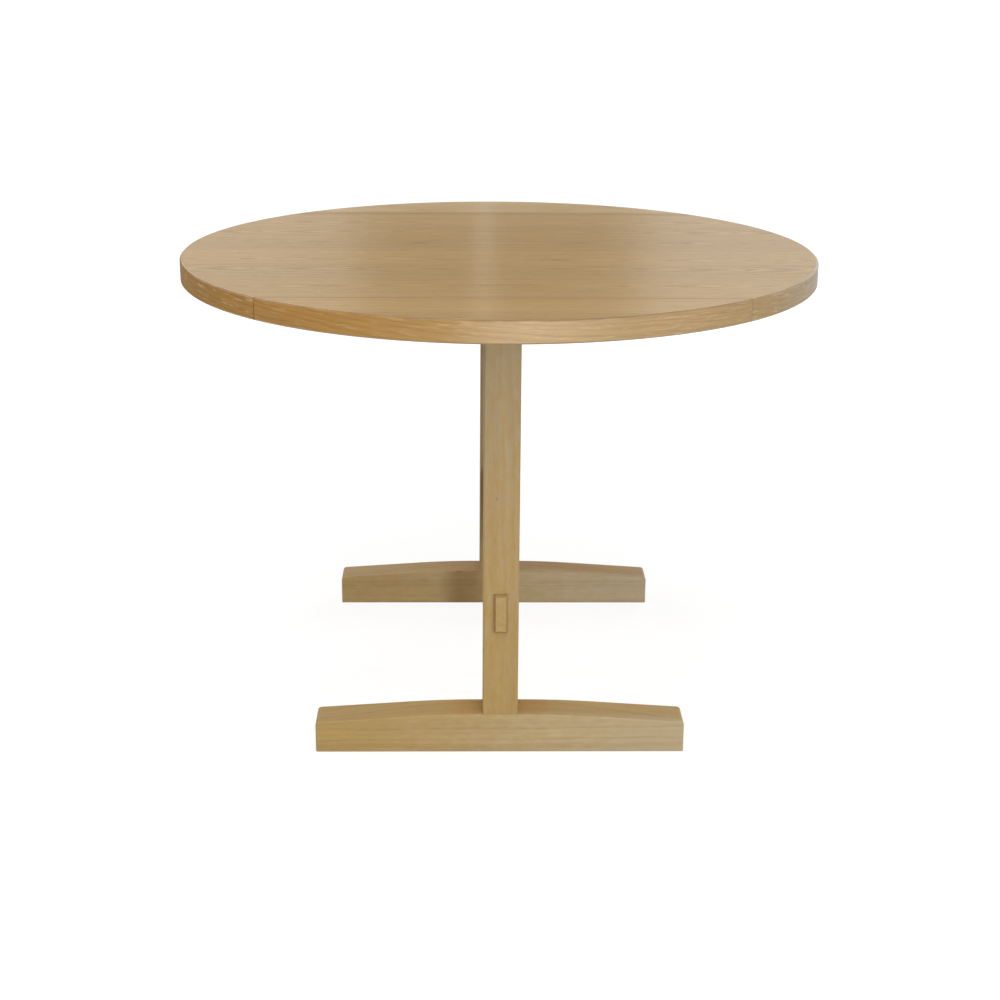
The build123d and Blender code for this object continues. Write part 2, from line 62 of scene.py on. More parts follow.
class Graph:
    """A shader's node tree, with one short method for each kind of node that the finishes use."""

    def __init__(self, tree):
        self.tree = tree
        tree.nodes.clear()

    def node(self, kind, inputs, **settings):
        """A new node. Inputs that are sockets of other nodes are linked, the rest are set."""
        made = self.tree.nodes.new(kind)
        for key, value in settings.items():
            setattr(made, key, value)
        for key, value in inputs.items():
            if isinstance(value, bpy.types.NodeSocket):
                self.tree.links.new(value, made.inputs[key])
            else:
                made.inputs[key].default_value = value
        return made

    def math(self, operation, first, second=0.0, third=0.0):
        inputs = {0: first, 1: second, 2: third}
        return self.node("ShaderNodeMath", inputs, operation=operation).outputs[0]

    def add(self, first, second):
        return self.math("ADD", first, second)

    def scale(self, value, factor):
        return self.math("MULTIPLY", value, factor)

    def weave(self, value, factor, offset):
        """value times factor, plus offset."""
        return self.math("MULTIPLY_ADD", value, factor, offset)

    def swing(self, share, amount, middle=0.0):
        """A value that swings by amount round middle, as share goes from 0 to 1."""
        return self.weave(share, amount, middle - amount / 2)

    def magnitude(self, value):
        return self.math("ABSOLUTE", value)

    def distance(self, first, second):
        """How far a point with these two coordinates is from their origin."""
        squares = self.add(self.scale(first, first), self.scale(second, second))
        return self.math("SQRT", squares)

    def fade(self, value, low, high, start=0.0, end=1.0):
        """Smooth step from start to end, as value goes from low to high."""
        inputs = {"Value": value, "From Min": low, "From Max": high, "To Min": start, "To Max": end}
        return self.node("ShaderNodeMapRange", inputs, interpolation_type="SMOOTHSTEP").outputs[0]

    def vector(self, x, y, z):
        return self.node("ShaderNodeCombineXYZ", {0: x, 1: y, 2: z}).outputs[0]

    def axes(self, vector):
        return self.node("ShaderNodeSeparateXYZ", {0: vector}).outputs

    def place(self):
        """The point on the piece, in the frame's axes with the joints at rest."""
        return self.axes(self.node("ShaderNodeTexCoord", {}).outputs["Object"])

    def facing(self):
        """The way the surface faces there, in the same axes."""
        return self.axes(self.node("ShaderNodeTexCoord", {}).outputs["Normal"])

    def counted(self, *rates):
        """The point on the piece, counted in so many features in a metre of X, Y and Z."""
        return self.vector(*[self.scale(value, rate) for value, rate in zip(self.place(), rates)])

    def noise(self, vector, detail, roughness=0.5):
        inputs = {"Vector": vector, "Scale": 1.0, "Detail": detail, "Roughness": roughness}
        return self.node("ShaderNodeTexNoise", inputs).outputs[0]

    def spots(self, vector):
        """Distance to the nearest of some scattered points, about one in each unit of space."""
        return self.node("ShaderNodeTexVoronoi", {"Vector": vector, "Scale": 1.0}).outputs["Distance"]

    def random(self, number):
        """Three numbers from 0 to 1 that change with each whole number."""
        made = self.node("ShaderNodeTexWhiteNoise", {"W": number}, noise_dimensions="1D")
        return self.axes(made.outputs["Color"])

    def blend(self, factor, first, second, kind="MIX"):
        """Mix of two colours, which are sockets 6 and 7 of the node; the colour output is socket 2."""
        inputs = {0: factor, 6: first, 7: second}
        made = self.node("ShaderNodeMix", inputs, data_type="RGBA", blend_type=kind)
        return made.outputs[2]

    def stain(self, factor, base, tint):
        """base multiplied by tint, as far as factor goes."""
        return self.blend(factor, base, tint, "MULTIPLY")

    def lit(self, base, level):
        """base multiplied by a grey level."""
        return self.stain(1.0, base, self.vector(level, level, level))

    def soft_edges(self, radius):
        return self.node("ShaderNodeBevel", {"Radius": radius}, samples=6).outputs[0]

    def bump(self, height, depth, normal):
        inputs = {"Strength": 1.0, "Distance": depth, "Height": height, "Normal": normal}
        return self.node("ShaderNodeBump", inputs).outputs[0]

    def shader(self, kind, inputs):
        return self.node("ShaderNode" + kind, inputs).outputs[0]

    def output(self, shader, kind="Material"):
        self.node("ShaderNodeOutput" + kind, {"Surface": shader})

    def emission(self, tint, level):
        return self.shader("Emission", {"Color": tint, "Strength": level})

    def surface(self, inputs):
        self.output(self.shader("BsdfPrincipled", inputs))


def colour(red, green, blue):
    """Linear colour of an 8-bit screen colour."""
    def linear(level):
        share = level / 255
        return share / 12.92 if share <= 0.04045 else ((share + 0.055) / 1.055) ** 2.4
    return (linear(red), linear(green), linear(blue), 1.0)


def new_material(name):
    material = bpy.data.materials.new(name)
    material.use_nodes = True
    return material, Graph(material.node_tree)


# A grain is a function that gives a point's places along the grain, across it and in depth.
# GRAIN_ORDER has the axes for these three places, for a grain along each axis.
GRAIN_ORDER = {"X": (0, 1, 2), "Y": (1, 0, 2), "Z": (2, 0, 1)}


def along_axis(axis):
    """Grain that follows one axis of the frame."""
    def grain(graph):
        place = graph.place()
        return [place[index] for index in GRAIN_ORDER[axis]]

    return grain


def along_rim(middle):
    """Grain that follows the rim, round it, up it and in from it; middle points to the band's middle."""
    def grain(graph):
        x, y, z = graph.place()
        ahead = graph.weave(x, middle[0], graph.scale(y, middle[1]))
        aside = graph.weave(y, middle[0], graph.scale(x, -middle[1]))
        turn = graph.math("ARCTAN2", aside, ahead)
        return graph.scale(turn, TOP_RADIUS), z, graph.distance(x, y)

    return grain


# Features in a metre of oak, along the grain and across it
BROAD_DRIFT = (2.4, 9.0)
FINE_DRIFT = (12.0, 55.0)
CLOUDS = (1.5, 8.0)
HUE_CHANGES = (3.0, 12.0)
BLOTCHES = (45.0, 100.0)
STREAKS = (5.0, 170.0)
RAYS = (15.0, 380.0)
PORES = (40.0, 1300.0)
KNOTS = (14.0, 22.0)

# Growth: the drift of the year lines, how uneven the years are, and the shares of a year where porous
# early wood begins and ends
BROAD_DRIFT_REACH = 0.036
FINE_DRIFT_REACH = 0.005
PITH_SLOPE = 0.012
UNEVEN_RATE = 90.0
UNEVEN_YEARS = 2.4
EARLY_WOOD_BEGINS = (0.0, 0.15)
EARLY_WOOD_ENDS = (0.75, 0.2)
YEAR_TONE_RATE = 0.55
YEAR_TONE_ROW = 7.0

# Veneer strips: plain ones are cut beside the pith, crown cut ones over it, where the year lines bow
STRIP_COUNT_START = 100.0
PLAIN_SHARE = 0.4
PLAIN_OFFSET = 0.10
CROWN_OFFSET = -0.025
OFFSET_SPREAD = 0.05
BOW_CHOICE = 0.35
BOWS = (0.11, -0.13)
CUT_DEPTH = 0.016
CUT_DEPTH_SPREAD = 0.02
STRIP_CONTRAST = 0.10

# Strength of the oak's details, in tone, hue and relief
CLOUD_CONTRAST = 0.16
YEAR_CONTRAST = 0.7
PORE_CONTRAST = 0.5
BLOTCH_CONTRAST = 0.4
BLOTCH_HUE = 4.0
ROUGH_NOISE = 0.62
PORE_LIMITS = (0.54, 0.66)
LATE_PORES = 0.25
RAY_LIMITS = (0.56, 0.70)
RAY_TONE = colour(212, 187, 146)
KNOT_LIMITS = (0.075, 0.015)
KNOT_TINT = (0.46, 0.38, 0.30, 1.0)
EARLY_WOOD_SINK = 0.25
PORE_RELIEF = 0.0001
EDGE_SOFTNESS = 0.0006

# Finish: its gloss, and the painted shade on chamfered edges, at the leaf joints and on the feet beside the
# posts
OAK_ROUGHNESS = 0.45
STREAK_ROUGHNESS = 0.14
PORE_ROUGHNESS = 0.18
OAK_IOR = 1.42
LACQUER_IOR = 1.58
PAINTED_EDGE_SHADE_TINT = (0.58, 0.47, 0.36, 1.0)
ARRIS_FROM_SIDE = (0.3, 0.5)
ARRIS_FROM_FACE = (0.95, 0.8)
SEAM_LIMITS = (0.0016, 0.0006)
WARM_SHADE_TINT = (0.96, 0.77, 0.53, 1.0)
WARM_SHADE_SOFTNESS = 0.006


def strip_pith(graph, length, across, width, seed):
    """Where a point of a veneer strip lies beside its tree's pith and below it, and the strip's tone."""
    count = graph.weave(across, 1 / width, STRIP_COUNT_START)
    inside = graph.scale(graph.add(graph.math("FRACT", count), -0.5), width)
    first, second, third = graph.random(graph.add(graph.math("FLOOR", count), seed))
    crown = graph.math("GREATER_THAN", second, PLAIN_SHARE)
    offset = graph.weave(crown, CROWN_OFFSET - PLAIN_OFFSET, PLAIN_OFFSET)
    beside = graph.add(inside, graph.weave(first, OFFSET_SPREAD, offset))
    bow = graph.weave(graph.math("GREATER_THAN", third, BOW_CHOICE), BOWS[1] - BOWS[0], BOWS[0])
    cut = graph.weave(third, CUT_DEPTH_SPREAD, CUT_DEPTH)
    below = graph.weave(graph.scale(length, length), bow, cut)
    return beside, below, graph.swing(first, STRIP_CONTRAST, 1.0)


def growth(graph, radius, ring, seed):
    """How porous the wood is at a radius from the pith, and the tone of its year."""
    uneven = graph.noise(graph.vector(graph.scale(radius, UNEVEN_RATE), 0.0, seed), 1)
    season = graph.math("FRACT", graph.weave(radius, 1 / ring, graph.scale(uneven, UNEVEN_YEARS)))
    begun = graph.fade(season, *EARLY_WOOD_BEGINS)
    porous = graph.scale(begun, graph.fade(season, *EARLY_WOOD_ENDS))
    year = graph.vector(graph.scale(radius, YEAR_TONE_RATE / ring), YEAR_TONE_ROW, seed)
    return porous, graph.noise(year, 2)


def arris_shade_zone(graph, axis, strength):
    """The chamfered edges of the faces that look along an axis, which get painted shade."""
    tilt = graph.magnitude(graph.facing()["XYZ".index(axis)])
    beyond_side = graph.fade(tilt, *ARRIS_FROM_SIDE)
    return graph.scale(beyond_side, graph.fade(tilt, *ARRIS_FROM_FACE, 0.0, strength))


def seam_shade_zone(graph, place, strength):
    """The wood close to the leaf joints, which gets painted shade."""
    from_joint = graph.add(graph.magnitude(place[1]), -JOINT_LINE)
    return graph.fade(graph.magnitude(from_joint), *SEAM_LIMITS, 0.0, strength)


def warm_shade_zone(graph, place, middle, half_width, start, end, strength):
    """A stretch of wood round a middle in X, from a start to an end in Y, which gets painted warm shade."""
    aside = graph.magnitude(graph.add(place[0], -middle))
    inside = graph.scale(
        graph.fade(place[1], start, start + WARM_SHADE_SOFTNESS),
        graph.fade(place[1], end, end - WARM_SHADE_SOFTNESS),
    )
    return graph.scale(inside, graph.fade(aside, half_width, half_width / 2, 0.0, strength))


def oak(name, grain, seed, tones, hues, painted_light_turning, ring, pith=(0.0, 0.0), figure=0.15, streak=0.10,
        fineness=1.0, slope=0.0, flecks=0.0, mottle=0.0, knots=0.0, lacquer=(0.0, 0.4), arris_shade=None,
        seam_shade=0.0, warm_shades=(), strips=0.0):
    """Clear-finished oak. tones are the colours of dense late wood and porous early wood.

    seed shifts the noise, so that boards differ.
    hues tint the board from a warm end to a cool one, along the direction and between the places in
    painted_light_turning. That gradient is painted light, shade and sheen; random hue changes lie over it.
    pith is the middle of the tree, as places across and in depth in the grain's own coordinates.
    ring is the width of a year; figure, streak and flecks set the strength of the year lines, of the
    streaks and of the pale rays; fineness makes the streaks finer and shorter, and the rays shorter;
    mottle sets the strength of small blotches in tone and tint, and knots that of pin knots; slope is
    the grain's run-out across the board.
    lacquer is the share and the roughness of a smoother top coat.
    arris_shade is the axis of the face whose chamfered edges get painted shade, and how much darker they
    are; seam_shade is the same for painted shade in the wood beside the leaf joints.
    warm_shades are zones of painted warm shade on a foot, beside its post and under the table top. Each has
    its middle and half width in X, the places in Y where it starts and ends, and its strength.
    With strips, the face is veneered in strips of that width, some plain and some crown cut.
    """
    material, graph = new_material(name)
    place = graph.place()
    length, across, depth = grain(graph)
    across = graph.weave(length, slope, across)

    def spot(along, sideways):
        """The point, counted in so many features in a metre along the grain and across it."""
        return graph.vector(
            graph.weave(length, along, seed), graph.scale(across, sideways), graph.scale(depth, sideways)
        )

    def stretched(rates, detail, roughness=0.5):
        """Noise drawn out along the grain."""
        return graph.noise(spot(*rates), detail, roughness)

    tone = graph.swing(stretched(CLOUDS, 2), CLOUD_CONTRAST, 1.0)
    if strips:
        beside, below, strip_tone = strip_pith(graph, length, across, strips, seed)
        tone = graph.scale(tone, strip_tone)
    else:
        beside = graph.add(across, -pith[0])
        below = graph.weave(length, PITH_SLOPE, graph.add(depth, -pith[1]))
    drift = graph.add(
        graph.swing(stretched(BROAD_DRIFT, 3), BROAD_DRIFT_REACH),
        graph.swing(stretched(FINE_DRIFT, 2), FINE_DRIFT_REACH),
    )
    porous, years = growth(graph, graph.distance(graph.add(beside, drift), below), ring, seed)
    pores = graph.scale(
        graph.fade(stretched(PORES, 1), *PORE_LIMITS), graph.weave(porous, 1 - LATE_PORES, LATE_PORES)
    )
    streaks = stretched([rate * fineness for rate in STREAKS], 3, ROUGH_NOISE)
    rays = graph.fade(stretched((RAYS[0] * fineness, RAYS[1]), 1), *RAY_LIMITS)
    blotches = stretched(BLOTCHES, 3, ROUGH_NOISE)

    # The hue gradient from the warm end to the cool end is painted light, shade and sheen
    direction, warm_end, cool_end = painted_light_turning
    wander = (cool_end - warm_end) / 2
    along_hue = graph.add(
        graph.swing(stretched(HUE_CHANGES, 2), wander),
        graph.swing(blotches, BLOTCH_HUE * mottle * wander),
    )
    for coordinate, weight in zip(place, direction):
        along_hue = graph.weave(coordinate, weight, along_hue)
    for change in (
        graph.swing(streaks, 2 * streak, 1.0),
        graph.swing(years, YEAR_CONTRAST * figure, 1.0),
        graph.weave(pores, -PORE_CONTRAST * figure, 1.0),
        graph.swing(blotches, BLOTCH_CONTRAST * mottle, 1.0),
    ):
        tone = graph.scale(tone, change)

    wood = graph.blend(graph.scale(porous, figure), *tones)
    wood = graph.stain(1.0, wood, graph.blend(graph.fade(along_hue, warm_end, cool_end), *hues))
    wood = graph.lit(wood, tone)
    wood = graph.blend(graph.scale(rays, flecks), wood, RAY_TONE)
    if knots:
        knot = graph.fade(graph.spots(spot(*KNOTS)), *KNOT_LIMITS, 0.0, knots)
        wood = graph.stain(knot, wood, KNOT_TINT)
    # Painted shade on chamfered edges and at the leaf joints, and painted warm shade on the feet
    if arris_shade:
        wood = graph.stain(arris_shade_zone(graph, *arris_shade), wood, PAINTED_EDGE_SHADE_TINT)
    if seam_shade:
        wood = graph.stain(seam_shade_zone(graph, place, seam_shade), wood, PAINTED_EDGE_SHADE_TINT)
    for warm_shade in warm_shades:
        wood = graph.stain(warm_shade_zone(graph, place, *warm_shade), wood, WARM_SHADE_TINT)

    rough = graph.weave(pores, PORE_ROUGHNESS, graph.swing(streaks, STREAK_ROUGHNESS, OAK_ROUGHNESS))
    height = graph.weave(pores, -1.0, graph.scale(porous, -EARLY_WOOD_SINK))
    graph.surface(
        {
            "Base Color": wood,
            "Roughness": rough,
            "Normal": graph.bump(height, PORE_RELIEF, graph.soft_edges(EDGE_SOFTNESS)),
            "IOR": OAK_IOR,
            "Coat Weight": lacquer[0],
            "Coat Roughness": lacquer[1],
            "Coat IOR": LACQUER_IOR,
        }
    )
    return material


METAL_CLOUD_RATE = 160
METAL_CLOUD_CONTRAST = 0.30
SCRATCH_RATE = 4000
SCRATCH_ROUGHNESS = 0.1
SCRATCH_RELIEF = 0.00002
METAL_EDGE = 0.0003


def metal(name, tint, roughness, spread, scratch_rate):
    """Plated or drawn steel, with a cloudy gloss and fine scratches along X."""
    material, graph = new_material(name)
    cloud = graph.noise(graph.counted(METAL_CLOUD_RATE, METAL_CLOUD_RATE, METAL_CLOUD_RATE), 3)
    scratch = graph.noise(graph.counted(scratch_rate, SCRATCH_RATE, SCRATCH_RATE), 2)
    shade = graph.lit(tint, graph.swing(cloud, METAL_CLOUD_CONTRAST, 1.0))
    rough = graph.add(graph.swing(cloud, spread, roughness), graph.swing(scratch, SCRATCH_ROUGHNESS))
    normal = graph.bump(scratch, SCRATCH_RELIEF, graph.soft_edges(METAL_EDGE))
    graph.surface({"Base Color": shade, "Metallic": 1.0, "Roughness": rough, "Normal": normal})
    return material


FIBRE_RATE = 900
FIBRE_ROUGHNESS = 0.7
FIBRE_ROUGHNESS_SPREAD = 0.2
FIBRE_RELIEF = 0.00008
FIBRE_EDGE = 0.0002


def fibre(name, tint, fleck_tint):
    """Pressed fibre of the friction washers."""
    material, graph = new_material(name)
    fleck = graph.noise(graph.counted(FIBRE_RATE, FIBRE_RATE, FIBRE_RATE), 4)
    shade = graph.blend(fleck, tint, fleck_tint)
    rough = graph.weave(fleck, FIBRE_ROUGHNESS_SPREAD, FIBRE_ROUGHNESS)
    normal = graph.bump(fleck, FIBRE_RELIEF, graph.soft_edges(FIBRE_EDGE))
    graph.surface({"Base Color": shade, "Roughness": rough, "Normal": normal})
    return material


def finish(node, material):
    """Give a carried-over part its finish."""
    slots = frame["nodes"][node].data.materials
    slots.clear()
    slots.append(material)


# Oak of the veneered top and its lippings; its hues turn a little cooler to the right, a painted sheen
TOP_OAK = {
    "tones": (colour(191, 155, 98), colour(155, 117, 66)),
    "hues": ((0.97, 0.99, 0.99, 1.0), (0.97, 1.00, 1.04, 1.0)),
    "painted_light_turning": ((1, 0, 0), -0.5, 0.5),
    "ring": 0.0055,
    "streak": 0.08,
    "fineness": 0.7,
    "lacquer": (0.24, 0.16),
}
# The rear leaf's veneer is painted paler, for the brighter sheen that the rear leaf shows
REAR_LEAF_OAK = TOP_OAK | {"tones": (colour(206, 173, 119), colour(173, 137, 87))}
# The lippings' chamfered edges get painted shade, which draws the leaf joints as dark lines
LIPPING_OAK = TOP_OAK | {"tones": (colour(184, 148, 93), colour(149, 112, 63)), "arris_shade": ("Z", 0.9)}
VENEER_FIGURE = 0.45
STRIP_WIDTH = PANEL_CORE_EDGE / 3

for panel, kind, seed in (
    ("centre_panel", TOP_OAK, 3.0),
    ("front_leaf_panel", TOP_OAK, 11.0),
    ("rear_leaf_panel", REAR_LEAF_OAK, 23.0),
):
    veneer = oak(
        panel + "_veneer", along_axis("X"), seed, figure=VENEER_FIGURE, strips=STRIP_WIDTH, **kind
    )
    finish(panel, veneer)

# Oak of the bands round the rim: its hues from left to right are painted light and shade
RIM_OAK = {
    "tones": (colour(174, 135, 75), colour(134, 93, 44)),
    "hues": ((1.01, 0.93, 0.76, 1.0), (0.83, 0.90, 0.97, 1.0)),
    "painted_light_turning": ((1, 0, 0), -0.35, 0.10),
    "pith": (0.69, TOP_RADIUS - 0.09),
    "ring": 0.0032,
    "figure": 0.25,
    "streak": 0.22,
    "fineness": 2.6,
    "slope": 0.03,
    "lacquer": (1.0, 0.30),
    # Painted shade on the chamfered edges and beside the leaf joints
    "arris_shade": ("Z", 0.5),
    "seam_shade": 0.85,
}

for edge, middle, flecks, seed in (
    ("centre_edge_left", (-1, 0), 0.55, 5.0),
    ("centre_edge_right", (1, 0), 0.38, 9.0),
    ("front_leaf_edge", (0, -1), 0.20, 14.0),
    ("rear_leaf_edge", (0, 1), 0.20, 17.0),
):
    finish(edge, oak(edge + "_band", along_rim(middle), seed, flecks=flecks, **RIM_OAK))

# Oak of the trestle; its warm to cool hues are painted shade and sheen
FRAME_OAK = {
    "tones": (colour(180, 155, 110), colour(148, 118, 74)),
    "hues": ((0.93, 0.86, 0.64, 1.0), (1.02, 1.10, 1.34, 1.0)),
}
# A post turns greyer and darker towards its top: painted shade under the table top, with a painted sheen
POST_OAK = FRAME_OAK | {
    "hues": ((0.91, 0.82, 0.58, 1.0), (0.79, 0.83, 0.97, 1.0)),
    "painted_light_turning": ((0, 0, 1), -0.15, 1.10),
    "ring": 0.012,
    "figure": 0.08,
    "mottle": 0.8,
    "knots": 0.45,
}
BEARER_OAK = FRAME_OAK | {"painted_light_turning": ((1, 0, 0), -0.30, 0.30), "ring": 0.012, "mottle": 0.4}
# The stretcher's chamfered tenon ends get painted shade
STRETCHER_OAK = FRAME_OAK | {
    "hues": ((0.89, 0.83, 0.65, 1.0), (1.00, 1.08, 1.30, 1.0)),
    "painted_light_turning": ((0, 1, 0), -0.50, 1.60),
    "ring": 0.012,
    "figure": 0.08,
    "mottle": 0.4,
    "arris_shade": ("Y", 0.55),
}
FOOT_OAK = FRAME_OAK | {"ring": 0.026, "figure": 0.20, "slope": 0.02, "mottle": 0.3}
# The rear foot's hues turn cooler: a stronger painted sheen
REAR_FOOT_OAK = FOOT_OAK | {"hues": ((0.97, 0.91, 0.75, 1.0), (1.07, 1.18, 1.56, 1.0))}

# A foot's wood has a painted sheen, cool at the right end of its front face and warm to the left and
# further in, and painted warm shade beside the post. Its warm shades start and end at depths from the front
# face.
FOOT_TURN_INWARD = -20
FOOT_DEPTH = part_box("front_foot")[1].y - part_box("front_foot")[0].y
FRONT_FOOT_WARM_SHADES = [(0.0, 0.10, 0.004, FOOT_DEPTH, 0.6)]
REAR_FOOT_WARM_SHADES = [(-0.03, 0.085, -0.01, 0.01, 0.55), (0.08, 0.26, 0.002, FOOT_DEPTH, 0.45)]


def foot_oak(node, kind, warm_shades):
    """The oak of a foot, with its painted sheen and painted warm shade laid out from the foot's own box."""
    low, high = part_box(node)
    face = FOOT_TURN_INWARD * low.y
    zones = [
        (middle, half_width, low.y + start, low.y + end, strength)
        for middle, half_width, start, end, strength in warm_shades
    ]
    return kind | {"painted_light_turning": ((1, FOOT_TURN_INWARD, 0), face + low.x, face + high.x), "warm_shades": zones}


def finish_board(node, axis, from_middle, kind, seed):
    """Finish a solid piece in oak; from_middle leads from the piece's middle to the tree's pith."""
    low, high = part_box(node)
    middle = (low + high) / 2
    _, across, depth = GRAIN_ORDER[axis]
    pith = (middle[across] + from_middle[0], middle[depth] + from_middle[1])
    finish(node, oak(node + "_oak", along_axis(axis), seed, pith=pith, **kind))


for side, foot_kind, warm_shades, seed in (
    ("front", FOOT_OAK, FRONT_FOOT_WARM_SHADES, 2.0),
    ("rear", REAR_FOOT_OAK, REAR_FOOT_WARM_SHADES, 31.0),
):
    foot = side + "_foot"
    finish_board(side + "_panel_lipping", "X", (0.05, -0.07), LIPPING_OAK, seed)
    finish_board(side + "_leaf_lipping", "X", (-0.06, -0.05), LIPPING_OAK, seed)
    finish_board(side + "_post", "Z", (0.11, 0.05), POST_OAK, seed)
    finish_board(foot, "X", (0.04, -0.07), foot_oak(foot, foot_kind, warm_shades), seed)
    finish_board(side + "_bearer", "X", (-0.08, 0.09), BEARER_OAK, seed)
finish_board("stretcher", "Y", (0.07, 0.12), STRETCHER_OAK, 0.0)

# Finishes of the fittings, by their material slots
FITTINGS = {
    "zinc_plate": metal("zinc_plate", colour(184, 185, 182), 0.42, 0.22, 300),
    "zinc_screw": metal("zinc_screw", colour(192, 190, 182), 0.36, 0.20, 900),
    "bright_steel": metal("bright_steel", colour(198, 198, 198), 0.26, 0.14, 1500),
    "friction_fibre": fibre("washer_fibre", colour(44, 40, 36), colour(70, 62, 52)),
}
for part in frame["record"]["subparts"]:
    if part["material_slot"] in FITTINGS:
        finish(part["node"], FITTINGS[part["material_slot"]])

# Screws with a cross recess in the head, in place of the plain CAD screws
HEAD_SIDES = 32
HEAD_LIMIT = 0.012
FLAT_LIMIT = 0.00001
SCREW_TIP = 0.003
RECESS_TURN = 0.6
SHARP_EDGE = math.radians(30)

# Shares of a head's radius: radius and height of the points on its profile, reach and half width of the
# recess's arms, and the recess's depth
FACE_SIZE = 0.93
HEAD_EDGE = (0.96, 0.04)
NECK = (0.5, 0.5)
POINT_SIZE = 0.125
RECESS_MOUTH = (0.62, 0.15)
RECESS_BOTTOM = (0.30, 0.10)
RECESS_DEPTH = 0.42


def screw_heads(node):
    """Middle and radius of each screw head of a node; all heads face down at rest."""
    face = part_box(node)[0].z
    heads = []
    for vertex in frame["nodes"][node].data.vertices:
        if vertex.co.z < face + FLAT_LIMIT:
            near = [head for head in heads if (head[0] - vertex.co).length < HEAD_LIMIT]
            if near:
                near[0].append(vertex.co)
            else:
                heads.append([vertex.co])
    for head in heads:
        left, right = min(point.x for point in head), max(point.x for point in head)
        front, rear = min(point.y for point in head), max(point.y for point in head)
        yield Vector(((left + right) / 2, (front + rear) / 2, face)), (right - left) / 2


def add_screw(mesh, place, radius, length, turn):
    """Countersunk wood screw, head down at place, with its cross recess turned by an angle."""
    def loop(outline, height):
        return [mesh.verts.new(place + Vector((x, y, height))) for x, y in outline]

    def circle(size):
        angles = [2 * math.pi * side / HEAD_SIDES for side in range(HEAD_SIDES)]
        return [(size * math.cos(angle), size * math.sin(angle)) for angle in angles]

    def cross(shares):
        reach, half_width = (share * radius for share in shares)
        corners = [(reach, -half_width), (reach, half_width), (half_width, half_width)]
        quarters = [turn + quarter * math.pi / 2 for quarter in range(4)]
        return [
            (x * math.cos(angle) - y * math.sin(angle), x * math.sin(angle) + y * math.cos(angle))
            for angle in quarters
            for x, y in corners
        ]

    def join(lower, upper):
        for index in range(len(lower)):
            mesh.faces.new((lower[index - 1], lower[index], upper[index], upper[index - 1]))

    profile = [
        (FACE_SIZE * radius, 0.0),
        (HEAD_EDGE[0] * radius, HEAD_EDGE[1] * radius),
        (NECK[0] * radius, NECK[1] * radius),
        (NECK[0] * radius, length - SCREW_TIP),
        (POINT_SIZE * radius, length),
    ]
    rings = [loop(circle(size), height) for size, height in profile]
    for lower, upper in zip(rings, rings[1:]):
        join(lower, upper)
    mesh.faces.new(rings[-1])
    mouth = loop(cross(RECESS_MOUTH), 0.0)
    bottom = loop(cross(RECESS_BOTTOM), RECESS_DEPTH * radius)
    join(mouth, bottom)
    mesh.faces.new(bottom)
    face_edges = [
        mesh.edges.get((outline[index - 1], outline[index]))
        for outline in (rings[0], mouth)
        for index in range(len(outline))
    ]
    bmesh.ops.triangle_fill(mesh, use_beauty=True, edges=face_edges)


def recessed_screws(node):
    """All screws of a node as one piece."""
    low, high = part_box(node)
    shape = bmesh.new()
    for number, (place, radius) in enumerate(screw_heads(node)):
        add_screw(shape, place, radius, high.z - low.z, RECESS_TURN * number)
    bmesh.ops.recalc_face_normals(shape, faces=shape.faces)
    mesh = bpy.data.meshes.new(node + "_recessed")
    shape.to_mesh(mesh)
    shape.free()
    mesh.polygons.foreach_set("use_smooth", [True] * len(mesh.polygons))
    mesh.set_sharp_from_angle(angle=SHARP_EDGE)
    mesh.materials.append(FITTINGS["zinc_screw"])
    screws = bpy.data.objects.new(node + "_recessed", mesh)
    bpy.context.scene.collection.objects.link(screws)
    return screws


for body, nodes in frame["record"]["behaviour"]["bodies"].items():
    for node in nodes:
        if node.endswith("screws"):
            screws = recessed_screws(node)
            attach(screws, body)
            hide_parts(node)


def stage_sheet(name, corners, material):
    """A flat sheet of the set, which isn't part of the table."""
    mesh = bpy.data.meshes.new(name)
    mesh.from_pydata(corners, [], [range(len(corners))])
    sheet = bpy.data.objects.new(name, mesh)
    bpy.context.scene.collection.objects.link(sheet)
    mesh.materials.append(material)
    return sheet


def by_view(graph, unseen, seen):
    """seen for rays from the camera, a mirror or glass, and unseen for light that falls on the table."""
    path = graph.node("ShaderNodeLightPath", {}).outputs
    direct = graph.math("MAXIMUM", path["Is Camera Ray"], path["Is Glossy Ray"])
    direct = graph.math("MAXIMUM", direct, path["Is Transmission Ray"])
    return graph.shader("MixShader", {0: direct, 1: unseen, 2: seen})


# White floor that keeps a soft shadow round the table
FLOOR_HALF = 30.0
SHADOW_REACH = (0.9, 2.6)
GLOW_LEVELS = (0.85, 1.0)
MATT_GREY = (0.21, 0.21, 0.21, 1.0)
BOUNCE_GREY = (0.50, 0.50, 0.49, 1.0)
floor_material, graph = new_material("floor_white")
x, y, _ = graph.place()
glow_level = graph.fade(graph.distance(x, y), *SHADOW_REACH, *GLOW_LEVELS)
matt = graph.shader("BsdfDiffuse", {"Color": MATT_GREY})
shown = graph.shader("AddShader", {0: matt, 1: graph.emission(WHITE, glow_level)})
bounce = graph.shader("BsdfDiffuse", {"Color": BOUNCE_GREY})
graph.output(by_view(graph, bounce, shown))
floor_corners = [(-1, -1), (1, -1), (1, 1), (-1, 1)]
stage_sheet("floor", [(x * FLOOR_HALF, y * FLOOR_HALF, 0.0) for x, y in floor_corners], floor_material)

# White surroundings, and the level of light that they give
AMBIENT = 0.26
world = bpy.data.worlds.new("studio")
world.use_nodes = True
bpy.context.scene.world = world
graph = Graph(world.node_tree)
ambient = graph.shader("Background", {"Color": WHITE, "Strength": AMBIENT})
backdrop = graph.shader("Background", {"Color": WHITE, "Strength": 1.0})
graph.output(by_view(graph, ambient, backdrop), "World")

